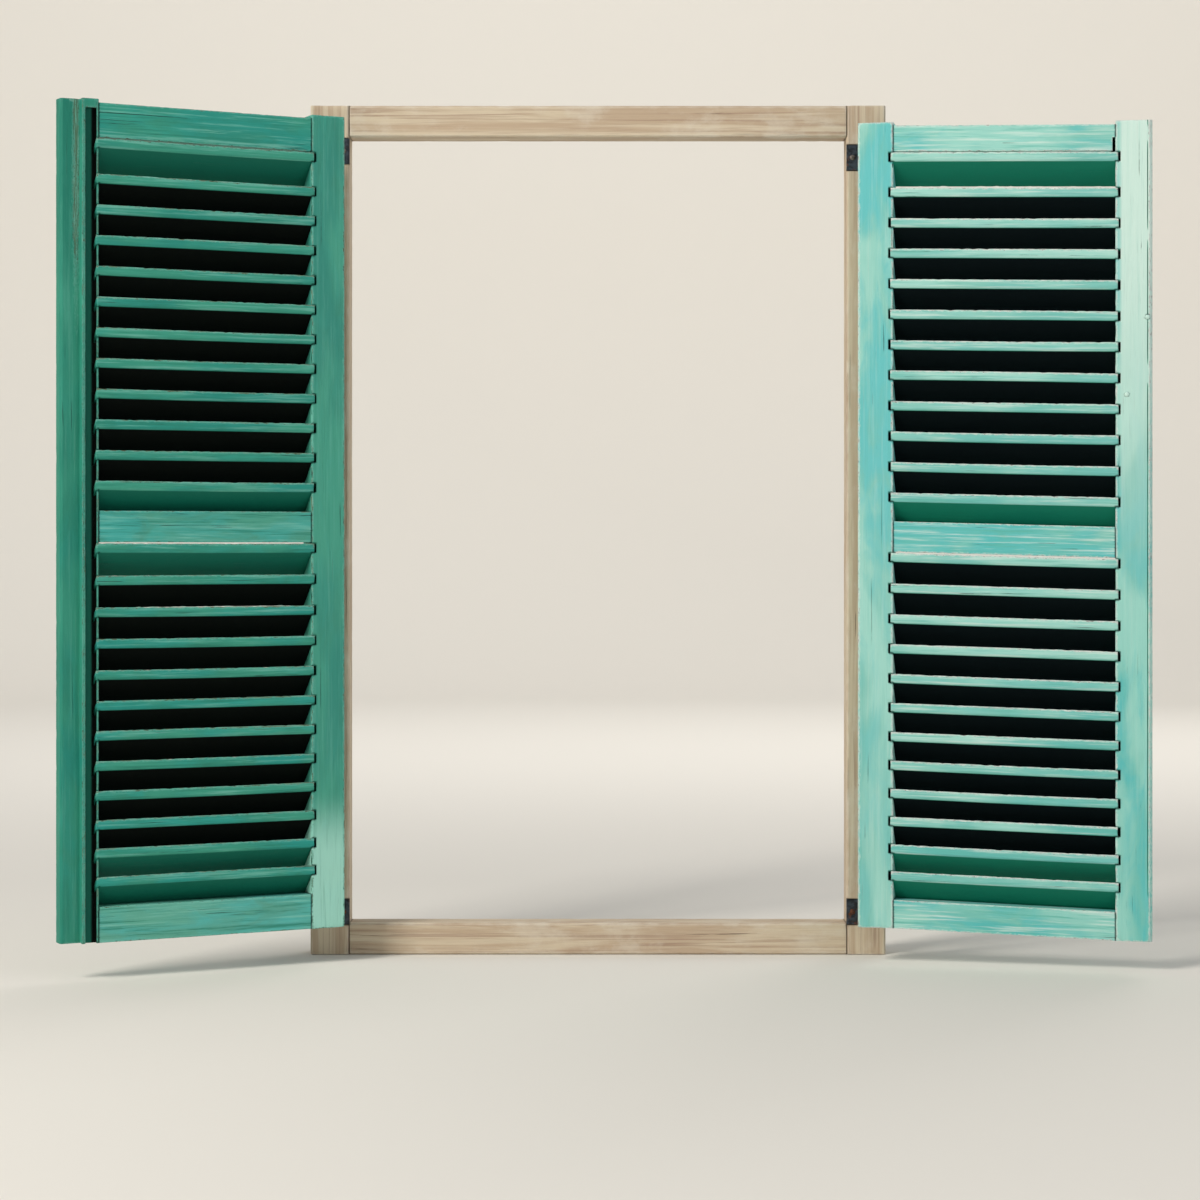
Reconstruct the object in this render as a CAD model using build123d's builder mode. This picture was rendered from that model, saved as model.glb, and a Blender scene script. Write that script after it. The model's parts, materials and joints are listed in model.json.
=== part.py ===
from build123d import *
import math
import os
from dataclasses import dataclass

# A pair of louvred timber shutter leaves, hung on cranked iron pintles from a plain timber frame.
# Millimetres. X runs along the wall, +Y points into the wall, +Z is up. The origin is the middle of the
# frame's back face, which lies against the wall. The leaves are drawn standing open, as they are found:
# their indoor faces look towards -Y. Heights on a leaf are measured from the foot of its stiles. The right
# leaf has sagged with age: its meeting stile hangs lower than its hinge stile, and its rails and slats slope.

# Frame
opening_width = 912.0
opening_height = 1442.0
post_width = 72.0
cross_member_height = 58.0
frame_depth = 58.0
frame_edge_chamfer = 3.0
frame_tenon_length = 30.0
frame_tenon_thickness = 18.0
frame_tenon_shoulder = 9.0
fixing_hole_radius = 4.5
fixing_countersink_radius = 9.0
fixing_row_height = 520.0

# Leaves, and how far they reach past the opening when shut
leaf_thickness = 42.0
side_overlap = 48.0
right_head_overlap = 10.0
left_head_overlap = 22.0
sill_gap = 6.0
closed_gap = 5.0
hinge_edge_setback = 13.0
right_rest_angle = 12.7
left_rest_angle = 27.2
right_droop = 10.5
left_droop = 0.0

# Stiles and rails
stile_width = 64.0
stile_chamfer = 1.6
meeting_edge_chamfer = 4.5
horn_height = 6.0
rail_setback = 1.2
right_top_rail_height = 47.0
left_top_rail_height = 60.0
middle_rail_height = 55.0
right_middle_rail_base = 675.0
left_middle_rail_base = 692.0
right_bottom_rail_height = 51.0
left_bottom_rail_height = 62.0
rail_tenon_length = 26.0
rail_tenon_thickness = 13.0
rail_tenon_shoulder = 5.0
tenon_clearance = 0.15
open_joint_width = 5.0
open_joint_height = 24.0
open_joint_depth = 13.5

# Rebates that lap when the leaves are shut, and the channel sunk in the left leaf's meeting stile
rebate_width = 34.0
lip_thickness = 26.0
meeting_gap = 2.0
lap_clearance = 1.0
channel_width = 20.0
channel_depth = 10.0
channel_land = 4.0
channel_stop = 16.0

# Slats
slats_below_lip = 11
slat_nose_height = 16.0
slat_nose_proud = 1.5
slat_nose_chamfer = 1.8
slat_slope = 45.0
slat_back_inset = 1.0
slat_housing = 9.0
slat_end_gap = 1.2
slat_seat_gap = 0.2
slat_groove_slack = 1.3
last_slat_height = 45.0
lip_gap = 0.3
upper_first_gap_extra = 8.5
lower_closing_up = 0.07

# Strap hinges
pin_radius = 6.0
pin_clearance = 0.06
strap_thickness = 4.0
strap_height = 30.0
strap_tip_height = 15.0
strap_length = 300.0
strap_shoulder = 50.0
lower_strap_base = 12.5
upper_strap_drop = 49.5
first_strap_screw = 32.0
strap_screw_pitch = 84.0
strap_screw_count = 4

# Pintles
plate_thickness = 6.0
plate_height = 46.0
plate_drop = 16.0
plate_inner_screw = 11.0
plate_outer_screws = 33.0
plate_screw_rise = 11.5
arm_thickness = 10.0
arm_width = 12.0
boss_radius = 8.6
arm_corner_radius = 9.0
swing_clearance = 3.0
pin_above_eye = 5.0
pin_tip_chamfer = 1.5
eye_seat_gap = 0.3
pocket_clearance = 1.5
plate_bed_gap = 0.1

# Screws and nails
screw_sides = 12
screw_shank_radius = 2.5
screw_shank_length = 12.0
screw_head_radius = 5.2
screw_head_height = 2.4
screw_head_taper = 32.0
screw_clearance = 0.1
nail_head_radius = 4.2
edge_nail_inset = 8.0
edge_nail_height = 1099.0
inner_nail_inset = 44.0
inner_nail_height = 963.0

# Places worked out from the sizes above
frame_height = opening_height + 2 * cross_member_height
frame_front = -frame_depth
leaf_base = sill_gap - opening_height / 2
shut_half_width = opening_width / 2 + side_overlap
leaf_width = shut_half_width + (rebate_width - meeting_gap) / 2
right_leaf_height = opening_height - sill_gap + right_head_overlap
left_leaf_height = opening_height - sill_gap + left_head_overlap
eye_outer_radius = pin_radius + pin_clearance + strap_thickness
outdoor_face = -eye_outer_radius
indoor_face = outdoor_face - leaf_thickness
leaf_middle = (outdoor_face + indoor_face) / 2
pin_x = shut_half_width - hinge_edge_setback
pin_y = frame_front - closed_gap - leaf_thickness - eye_outer_radius
arm_inner_x = pin_x + hinge_edge_setback + swing_clearance
arm_outer_x = arm_inner_x + arm_width
slat_reach = leaf_thickness - slat_back_inset
slat_fall = math.tan(math.radians(slat_slope))


@dataclass(frozen=True)
class Leaf:
    """One leaf: side is 1 on the right post and -1 on the left post, angles are in degrees."""

    name: str
    side: int
    rest_angle: float
    droop: float
    height: float
    top_rail_height: float
    middle_rail_base: float
    bottom_rail_height: float


right_leaf = Leaf(
    "right",
    1,
    right_rest_angle,
    right_droop,
    right_leaf_height,
    right_top_rail_height,
    right_middle_rail_base,
    right_bottom_rail_height,
)
left_leaf = Leaf(
    "left",
    -1,
    left_rest_angle,
    left_droop,
    left_leaf_height,
    left_top_rail_height,
    left_middle_rail_base,
    left_bottom_rail_height,
)


def save(part, label):
    part.label = label
    export_step(part, f"parts/{label}.step")


def on_leaf(leaf, plane, fall=0.0):
    """Carry a plane from the leaf's own axes, with the pin at their origin, to the open leaf."""
    hang = Location((leaf.side * pin_x, pin_y, leaf_base - fall), (0, 0, -leaf.side * leaf.rest_angle))
    return Plane(hang * plane.location)


def across(leaf, distance):
    """Place along the leaf, given as a distance from its hinge edge."""
    return leaf.side * (distance - hinge_edge_setback)


def fall_at(leaf, distance):
    """How far the rails and slats have sunk at a distance from the hinge edge."""
    return leaf.droop * (distance - stile_width) / (leaf_width - 2 * stile_width)


def cross_section(leaf, distance):
    """Plane across the leaf, sunk as far as the rails and slats are at that distance."""
    return on_leaf(leaf, Plane.YZ.offset(across(leaf, distance)), fall_at(leaf, distance))


def extrude_across(leaf, profile, length, mode=Mode.ADD):
    """Extrude a cross-section by a length across the leaf, away from the hinge, along the rails' slope."""
    level = on_leaf(leaf, Plane.YZ).z_dir * leaf.side
    slope = level - Vector(0, 0, fall_at(leaf, stile_width + 1))
    extrude(profile, amount=length * slope.length, dir=slope, mode=mode)


def tenon_box(low, high):
    """Middle height and height of the tenon of a rail that reaches from low to high."""
    return (low + high) / 2, high - low - 2 * rail_tenon_shoulder


def rail_ranges(leaf):
    top_rail_top = leaf.height - horn_height
    return [
        (0.0, leaf.bottom_rail_height),
        (leaf.middle_rail_base, leaf.middle_rail_base + middle_rail_height),
        (top_rail_top - leaf.top_rail_height, top_rail_top),
    ]


def nose_heights(rail_above, rail_below, first_gap_extra, closing_up):
    """Nose heights of one panel, from the lip slat under its upper rail down to the last slat."""
    lip = rail_above - lip_gap - slat_nose_height / 2
    span = lip - first_gap_extra - rail_below - last_slat_height
    heights = [lip]
    for count in range(1, slats_below_lip + 1):
        share = count / slats_below_lip
        eased = share + closing_up * share * (1 - share)
        heights.append(lip - first_gap_extra - span * eased)
    return heights


def panel_heights(leaf):
    bottom, middle, top = rail_ranges(leaf)
    upper = nose_heights(top[0], middle[1], upper_first_gap_extra, 0.0)
    lower = nose_heights(middle[0], bottom[1], 0.0, lower_closing_up)
    return upper, lower


def slat_outline(front, back, under, over):
    """Sloping section of a slat, as depth and height, about the middle of its upright nose."""
    low = -slat_nose_height / 2 - under
    high = slat_nose_height / 2 + over
    nose = indoor_face - slat_nose_proud
    front_fall = (front - nose) * slat_fall
    back_fall = (back - nose) * slat_fall
    return [
        (front, low - front_fall),
        (front, high - front_fall),
        (back, high - back_fall),
        (back, low - back_fall),
    ]


def slat_grooves(leaf, inner_edge, direction):
    """Open slanted grooves for the slat ends, cut into the edge of the stile being built."""
    upper, lower = panel_heights(leaf)
    places = [(0, height) for height in upper + lower]
    outline = slat_outline(
        indoor_face - 2 * slat_nose_proud, outdoor_face + slat_nose_proud, slat_seat_gap, slat_groove_slack
    )
    with BuildSketch(cross_section(leaf, inner_edge)) as grooves:
        with Locations(*places):
            Polygon(*outline, align=None)
    extrude_across(leaf, grooves.sketch, direction * slat_housing, Mode.SUBTRACT)


def rail_mortises(leaf, inner_edge, direction):
    """Blind mortises for the three rails, cut into the edge of the stile being built."""
    with BuildSketch(cross_section(leaf, inner_edge)) as mortises:
        for low, high in rail_ranges(leaf):
            middle, height = tenon_box(low, high)
            with Locations((leaf_middle, middle)):
                Rectangle(rail_tenon_thickness + 2 * tenon_clearance, height + 2 * tenon_clearance)
    depth = rail_tenon_length + tenon_clearance
    extrude_across(leaf, mortises.sketch, direction * depth, Mode.SUBTRACT)


def outdoor_screw_holes(leaf, places):
    """Pilot holes in the outdoor face, at places given as distance along the leaf and height."""
    with BuildSketch(on_leaf(leaf, Plane.XZ.offset(-outdoor_face))) as holes:
        with Locations(*places):
            Circle(screw_shank_radius + screw_clearance)
    extrude(holes.sketch, amount=screw_shank_length, mode=Mode.SUBTRACT)


def strap_bases(leaf):
    return {"lower": lower_strap_base, "upper": leaf.height - upper_strap_drop}


def strap_screw_places(leaf, base):
    row = [first_strap_screw + count * strap_screw_pitch for count in range(strap_screw_count)]
    return [(leaf.side * distance, base + strap_height / 2) for distance in row]


def all_strap_screws(leaf):
    return [place for base in strap_bases(leaf).values() for place in strap_screw_places(leaf, base)]


def stile_nail_places(leaf):
    """Two nail heads in the meeting stile of the right leaf."""
    return [
        (across(leaf, leaf_width - edge_nail_inset), edge_nail_height),
        (across(leaf, leaf_width - inner_nail_inset), inner_nail_height),
    ]


def build_hinge_stile(leaf):
    with BuildPart() as hinge_stile:
        with BuildSketch(on_leaf(leaf, Plane.XY)) as section:
            with Locations((across(leaf, stile_width / 2), leaf_middle)):
                Rectangle(stile_width, leaf_thickness)
            chamfer(section.vertices(), stile_chamfer)
        extrude(amount=leaf.height)
        slat_grooves(leaf, stile_width, -1)
        rail_mortises(leaf, stile_width, -1)
        outdoor_screw_holes(leaf, all_strap_screws(leaf))
    save(hinge_stile.part, f"{leaf.name}_hinge_stile")


def build_meeting_stile(leaf):
    """Upright of the free edge. The left leaf's lip closes over the rebate of the right leaf."""
    inner_edge = leaf_width - stile_width
    rebated_face = outdoor_face
    rebate_depth = lip_thickness + lap_clearance
    edge_corner = indoor_face
    if leaf is left_leaf:
        rebated_face = indoor_face
        rebate_depth = leaf_thickness - lip_thickness
        edge_corner = indoor_face + rebate_depth
    with BuildPart() as meeting_stile:
        with BuildSketch(on_leaf(leaf, Plane.XY, leaf.droop)) as section:
            with Locations((across(leaf, leaf_width - stile_width / 2), leaf_middle)):
                Rectangle(stile_width, leaf_thickness)
            by_edge = section.vertices().sort_by(Axis.X, reverse=leaf.side > 0)
            chamfer(by_edge[2:], stile_chamfer)
            with Locations((across(leaf, leaf_width), rebated_face)):
                Rectangle(2 * rebate_width, 2 * rebate_depth, mode=Mode.SUBTRACT)
            free_corner = section.vertices().sort_by_distance((across(leaf, leaf_width), edge_corner))[0]
            chamfer(free_corner, meeting_edge_chamfer)
        extrude(amount=leaf.height)
        slat_grooves(leaf, inner_edge, 1)
        rail_mortises(leaf, inner_edge, 1)
        if leaf is left_leaf:
            with BuildSketch(on_leaf(leaf, Plane.XY, leaf.droop)):
                with Locations((across(leaf, inner_edge + channel_land + channel_width / 2), indoor_face)):
                    Rectangle(channel_width, 2 * channel_depth)
            extrude(amount=leaf.height - channel_stop, mode=Mode.SUBTRACT)
        else:
            with BuildSketch(on_leaf(leaf, Plane.XZ.offset(-indoor_face), leaf.droop)):
                with Locations(*stile_nail_places(leaf)):
                    Circle(screw_shank_radius + screw_clearance)
            extrude(amount=-screw_shank_length, mode=Mode.SUBTRACT)
    save(meeting_stile.part, f"{leaf.name}_meeting_stile")


def build_rail(leaf, label, low, high, bevelled):
    """Cross member with a tenon at each end; the bevel lets the last slat run down over it."""
    drop = slat_reach + slat_nose_proud
    bevel = drop * slat_fall + slat_nose_height / 2 - last_slat_height + slat_groove_slack
    front = indoor_face + rail_setback
    outline = [(front, low), (front, high)]
    if bevelled:
        outline += [(outdoor_face - bevel / slat_fall, high), (outdoor_face, high - bevel), (outdoor_face, low)]
    else:
        outline += [(outdoor_face, high), (outdoor_face, low)]
    body_length = leaf_width - 2 * stile_width
    tenon_middle, tenon_height = tenon_box(low, high)
    with BuildPart() as rail:
        with BuildSketch(cross_section(leaf, stile_width)) as section:
            Polygon(*outline, align=None)
        extrude_across(leaf, section.sketch, body_length)
        with BuildSketch(cross_section(leaf, stile_width - rail_tenon_length)) as tenon:
            with Locations((leaf_middle, tenon_middle)):
                Rectangle(rail_tenon_thickness, tenon_height)
        extrude_across(leaf, tenon.sketch, body_length + 2 * rail_tenon_length)
        if leaf is right_leaf and label == "top_rail":
            with BuildSketch(on_leaf(leaf, Plane.XZ.offset(-indoor_face), leaf.droop)) as open_joint:
                with Locations((across(leaf, leaf_width - stile_width), low)):
                    Rectangle(2 * open_joint_width, 2 * open_joint_height)
            extrude(open_joint.sketch, amount=-open_joint_depth, mode=Mode.SUBTRACT)
        outdoor_screw_holes(leaf, all_strap_screws(leaf))
    save(rail.part, f"{leaf.name}_{label}")


def build_slats(leaf, label, heights):
    """All slats of one panel, as separate solids."""
    outline = slat_outline(indoor_face - slat_nose_proud, indoor_face + slat_reach, 0.0, 0.0)
    end_inset = slat_housing - slat_end_gap
    length = leaf_width - 2 * (stile_width - end_inset)
    with BuildPart() as slats:
        with BuildSketch(cross_section(leaf, stile_width - end_inset)) as sections:
            with Locations(*[(0, height) for height in heights]):
                Polygon(*outline, align=None)
            chamfer(sections.vertices().group_by(Axis.X)[0], slat_nose_chamfer)
        extrude_across(leaf, sections.sketch, length)
    save(slats.part, f"{leaf.name}_{label}")


def build_strap(leaf, label, base):
    """Strap hinge: a flat bar rolled into an eye round the pin, narrowing to a round tip."""
    tip_radius = strap_tip_height / 2
    middle = base + strap_height / 2
    with BuildPart() as strap:
        with BuildSketch(on_leaf(leaf, Plane.XY.offset(base))):
            Circle(eye_outer_radius)
            with Locations((leaf.side * strap_length / 2, outdoor_face + strap_thickness / 2)):
                Rectangle(strap_length, strap_thickness)
            Circle(pin_radius + pin_clearance, mode=Mode.SUBTRACT)
        extrude(amount=strap_height)
        with BuildSketch(on_leaf(leaf, Plane.XZ)):
            eye_end = -leaf.side * 2 * eye_outer_radius
            shoulder = leaf.side * strap_shoulder
            tip = leaf.side * (strap_length - tip_radius)
            Polygon(
                (eye_end, middle - strap_height / 2),
                (shoulder, middle - strap_height / 2),
                (tip, middle - tip_radius),
                (tip, middle + tip_radius),
                (shoulder, middle + strap_height / 2),
                (eye_end, middle + strap_height / 2),
                align=None,
            )
            with Locations((tip, middle)):
                Circle(tip_radius)
        extrude(amount=3 * eye_outer_radius, both=True, mode=Mode.INTERSECT)
        with BuildSketch(on_leaf(leaf, Plane.XZ)):
            with Locations(*strap_screw_places(leaf, base)):
                Circle(screw_shank_radius + screw_clearance)
        extrude(amount=2 * eye_outer_radius, mode=Mode.SUBTRACT)
    save(strap.part, f"{leaf.name}_{label}_strap")


def screws_on(plane, places, head_radius, grip):
    """Screws whose low, many-sided heads sit on a plane, with shanks that reach grip below it."""
    with BuildSketch(plane) as heads:
        with Locations(*places):
            RegularPolygon(head_radius, screw_sides)
    extrude(heads.sketch, amount=screw_head_height, taper=screw_head_taper)
    with BuildSketch(plane) as shanks:
        with Locations(*places):
            RegularPolygon(screw_shank_radius, screw_sides)
    extrude(shanks.sketch, amount=-grip)


def build_strap_screws(leaf):
    """Screws of both straps: heads on the strap, points in the stile and the rails."""
    face = on_leaf(leaf, Plane.XZ.offset(-(outdoor_face + strap_thickness)))
    outward = Plane(face.origin, x_dir=face.x_dir, z_dir=-face.z_dir)
    places = [(x, -y) for x, y in all_strap_screws(leaf)]
    with BuildPart() as strap_screws:
        screws_on(outward, places, screw_head_radius, strap_thickness + screw_shank_length)
    save(strap_screws.part, f"{leaf.name}_strap_screws")


def build_stile_nails(leaf):
    with BuildPart() as stile_nails:
        face = on_leaf(leaf, Plane.XZ.offset(-indoor_face), leaf.droop)
        screws_on(face, stile_nail_places(leaf), nail_head_radius, screw_shank_length)
    save(stile_nails.part, f"{leaf.name}_stile_nails")


def build_leaf(leaf):
    upper, lower = panel_heights(leaf)
    bottom, middle, top = rail_ranges(leaf)
    build_hinge_stile(leaf)
    build_meeting_stile(leaf)
    build_rail(leaf, "bottom_rail", *bottom, bevelled=True)
    build_rail(leaf, "middle_rail", *middle, bevelled=True)
    build_rail(leaf, "top_rail", *top, bevelled=False)
    build_slats(leaf, "upper_slats", upper)
    build_slats(leaf, "lower_slats", lower)
    for label, base in strap_bases(leaf).items():
        build_strap(leaf, label, base)
    build_strap_screws(leaf)


def pin_bases(leaf):
    """Height of the top of each pintle's arm, where the eye of its strap rests."""
    return {label: leaf_base + base - eye_seat_gap for label, base in strap_bases(leaf).items()}


def plate_base_height(arm_top):
    return arm_top - arm_thickness / 2 - plate_drop


def plate_screw_places(leaf, arm_top):
    """Places of one plate's screws, as distance along X and height."""
    inner = leaf.side * (opening_width / 2 + plate_inner_screw)
    outer = leaf.side * (opening_width / 2 + plate_outer_screws)
    middle = plate_base_height(arm_top) + plate_height / 2
    return [(inner, middle), (outer, middle - plate_screw_rise), (outer, middle + plate_screw_rise)]


def build_pintle(leaf, label, arm_top):
    """Forged pintle: a plate let into the post, an arm cranked round the shut leaf's edge, and the pin."""
    edge = opening_width / 2
    plate_width = arm_outer_x - edge
    with BuildPart() as pintle:
        with BuildSketch(Plane.XY.offset(plate_base_height(arm_top))):
            with Locations((leaf.side * (edge + plate_width / 2), frame_front + plate_thickness / 2)):
                Rectangle(plate_width, plate_thickness)
        extrude(amount=plate_height)
        with BuildSketch(Plane.XY.offset(arm_top - arm_thickness)) as arm:
            with BuildLine():
                Polyline(
                    (leaf.side * arm_inner_x, frame_front + plate_thickness),
                    (leaf.side * arm_outer_x, frame_front + plate_thickness),
                    (leaf.side * arm_outer_x, pin_y - boss_radius),
                    (leaf.side * pin_x, pin_y - boss_radius),
                    (leaf.side * pin_x, pin_y + boss_radius),
                    (leaf.side * arm_inner_x, pin_y + boss_radius),
                    close=True,
                )
            make_face()
            crank = arm.vertices().sort_by_distance((leaf.side * arm_outer_x, pin_y - boss_radius))[0]
            fillet(crank, arm_corner_radius)
            with Locations((leaf.side * pin_x, pin_y)):
                Circle(boss_radius)
        extrude(amount=arm_thickness)
        with BuildSketch(Plane.XY.offset(arm_top)):
            with Locations((leaf.side * pin_x, pin_y)):
                Circle(pin_radius)
        extrude(amount=eye_seat_gap + strap_height + pin_above_eye)
        chamfer(pintle.edges().filter_by(GeomType.CIRCLE).sort_by(Axis.Z)[-1], pin_tip_chamfer)
        with BuildSketch(Plane.XZ.offset(-frame_front)):
            with Locations(*plate_screw_places(leaf, arm_top)):
                Circle(screw_shank_radius + screw_clearance)
        extrude(amount=-plate_thickness, mode=Mode.SUBTRACT)
    save(pintle.part, f"{leaf.name}_{label}_pintle")


def build_pintle_screws():
    """Screws of all four plates, driven into the posts from the front."""
    places = [
        place
        for leaf in (left_leaf, right_leaf)
        for arm_top in pin_bases(leaf).values()
        for place in plate_screw_places(leaf, arm_top)
    ]
    with BuildPart() as pintle_screws:
        grip = plate_thickness + screw_shank_length
        screws_on(Plane.XZ.offset(-frame_front), places, screw_head_radius, grip)
    save(pintle_screws.part, "pintle_screws")


def build_post(leaf):
    """Upright of the frame, with mortises, pockets for the pintle plates and holes for the wall fixings."""
    edge = opening_width / 2
    pocket_depth = plate_thickness + plate_bed_gap
    with BuildPart() as post:
        with BuildSketch(Plane.XY.offset(-frame_height / 2)) as section:
            with Locations((leaf.side * (edge + post_width / 2), -frame_depth / 2)):
                Rectangle(post_width, frame_depth)
            front_corners = section.vertices().group_by(Axis.Y)[0]
            chamfer(front_corners, frame_edge_chamfer)
        extrude(amount=frame_height)
        with BuildSketch(Plane.YZ.offset(leaf.side * edge)):
            for end in (-1, 1):
                with Locations((-frame_depth / 2, end * (opening_height + cross_member_height) / 2)):
                    Rectangle(
                        frame_tenon_thickness + 2 * tenon_clearance,
                        cross_member_height - 2 * frame_tenon_shoulder + 2 * tenon_clearance,
                    )
        extrude(amount=leaf.side * (frame_tenon_length + tenon_clearance), mode=Mode.SUBTRACT)
        for arm_top in pin_bases(leaf).values():
            plate_middle = plate_base_height(arm_top) + plate_height / 2
            pocket_width = arm_outer_x + pocket_clearance - edge
            with BuildSketch(Plane.XZ.offset(-frame_front)):
                with Locations((leaf.side * (edge + pocket_width / 2), plate_middle)):
                    Rectangle(pocket_width, plate_height + 2 * pocket_clearance)
            extrude(amount=-pocket_depth, mode=Mode.SUBTRACT)
            with BuildSketch(Plane.XZ.offset(-frame_front)):
                with Locations(*plate_screw_places(leaf, arm_top)):
                    Circle(screw_shank_radius + screw_clearance)
            extrude(amount=-(plate_thickness + screw_shank_length), mode=Mode.SUBTRACT)
        fixing_x = leaf.side * (edge + post_width / 2)
        fixing_plane = Plane((fixing_x, frame_front, 0), x_dir=(1, 0, 0), z_dir=(0, -1, 0))
        with Locations(fixing_plane):
            with Locations((0, -fixing_row_height), (0, 0), (0, fixing_row_height)):
                CounterSinkHole(fixing_hole_radius, fixing_countersink_radius)
    save(post.part, f"frame_{leaf.name}_post")


def build_cross_member(label, middle):
    """Head or sill of the frame, tenoned into both posts."""
    with BuildPart() as cross_member:
        with BuildSketch(Plane.YZ.offset(-opening_width / 2)) as section:
            with Locations((-frame_depth / 2, middle)):
                Rectangle(frame_depth, cross_member_height)
            chamfer(section.vertices().group_by(Axis.X)[0], frame_edge_chamfer)
        extrude(amount=opening_width)
        with BuildSketch(Plane.YZ.offset(-opening_width / 2 - frame_tenon_length)):
            with Locations((-frame_depth / 2, middle)):
                Rectangle(frame_tenon_thickness, cross_member_height - 2 * frame_tenon_shoulder)
        extrude(amount=opening_width + 2 * frame_tenon_length)
    save(cross_member.part, label)


def build_frame():
    middle = (opening_height + cross_member_height) / 2
    build_cross_member("frame_head", middle)
    build_cross_member("frame_sill", -middle)
    for leaf in (left_leaf, right_leaf):
        build_post(leaf)
        for label, arm_top in pin_bases(leaf).items():
            build_pintle(leaf, label, arm_top)
    build_pintle_screws()


os.makedirs("parts", exist_ok=True)
build_frame()
build_leaf(right_leaf)
build_leaf(left_leaf)
build_stile_nails(right_leaf)
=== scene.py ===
import json
import logging
import math
import random
from dataclasses import dataclass, field
from enum import Enum

import bmesh
import bpy
from bmesh.types import BMesh, BMVert
from bpy.types import Material, Node, NodeSocket, Object
from mathutils import Matrix, Vector, noise
from mathutils.bvhtree import BVHTree
from mathutils.kdtree import KDTree


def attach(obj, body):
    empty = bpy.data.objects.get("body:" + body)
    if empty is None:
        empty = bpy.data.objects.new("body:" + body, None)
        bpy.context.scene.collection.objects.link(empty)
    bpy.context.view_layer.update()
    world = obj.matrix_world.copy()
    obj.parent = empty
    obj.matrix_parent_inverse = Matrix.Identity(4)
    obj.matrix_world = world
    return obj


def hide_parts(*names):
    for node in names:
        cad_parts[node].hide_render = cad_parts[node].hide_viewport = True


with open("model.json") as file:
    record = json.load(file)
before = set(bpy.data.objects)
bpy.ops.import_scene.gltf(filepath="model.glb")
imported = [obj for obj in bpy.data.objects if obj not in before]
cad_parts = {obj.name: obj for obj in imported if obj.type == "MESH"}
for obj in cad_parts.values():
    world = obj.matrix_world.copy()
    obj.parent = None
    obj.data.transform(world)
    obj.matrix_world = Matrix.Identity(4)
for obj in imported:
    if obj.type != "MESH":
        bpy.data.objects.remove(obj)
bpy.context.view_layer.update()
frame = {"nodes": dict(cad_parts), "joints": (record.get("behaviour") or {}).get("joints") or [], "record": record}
LOG = logging.getLogger("window_shutters")
MM = 0.001
Colour = tuple[int, int, int]
Place = tuple[float, float, float]
Value = NodeSocket | float | tuple
MARKS = ("arris", "nook", "shade", "sun", "wash", "streaks")


class Axis(Enum):
    """Axes of a leaf or of the frame: along its width, into its depth, and up."""

    WIDTH = 0
    DEPTH = 1
    HEIGHT = 2

    def unit(self) -> Vector:
        """Returns: the unit vector along this axis."""
        return Vector([float(index == self.value) for index in range(3)])


def linear(colour: Colour) -> tuple[float, float, float, float]:
    """Turns a colour as it is seen on a screen into scene values.

    Args:
        colour: red, green and blue from 0 to 255.

    Returns:
        Linear red, green, blue and an alpha of 1.
    """
    parts = [part / 255 for part in colour]
    red, green, blue = (
        part / 12.92 if part <= 0.04045 else ((part + 0.055) / 1.055) ** 2.4 for part in parts)
    return red, green, blue, 1.0


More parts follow.
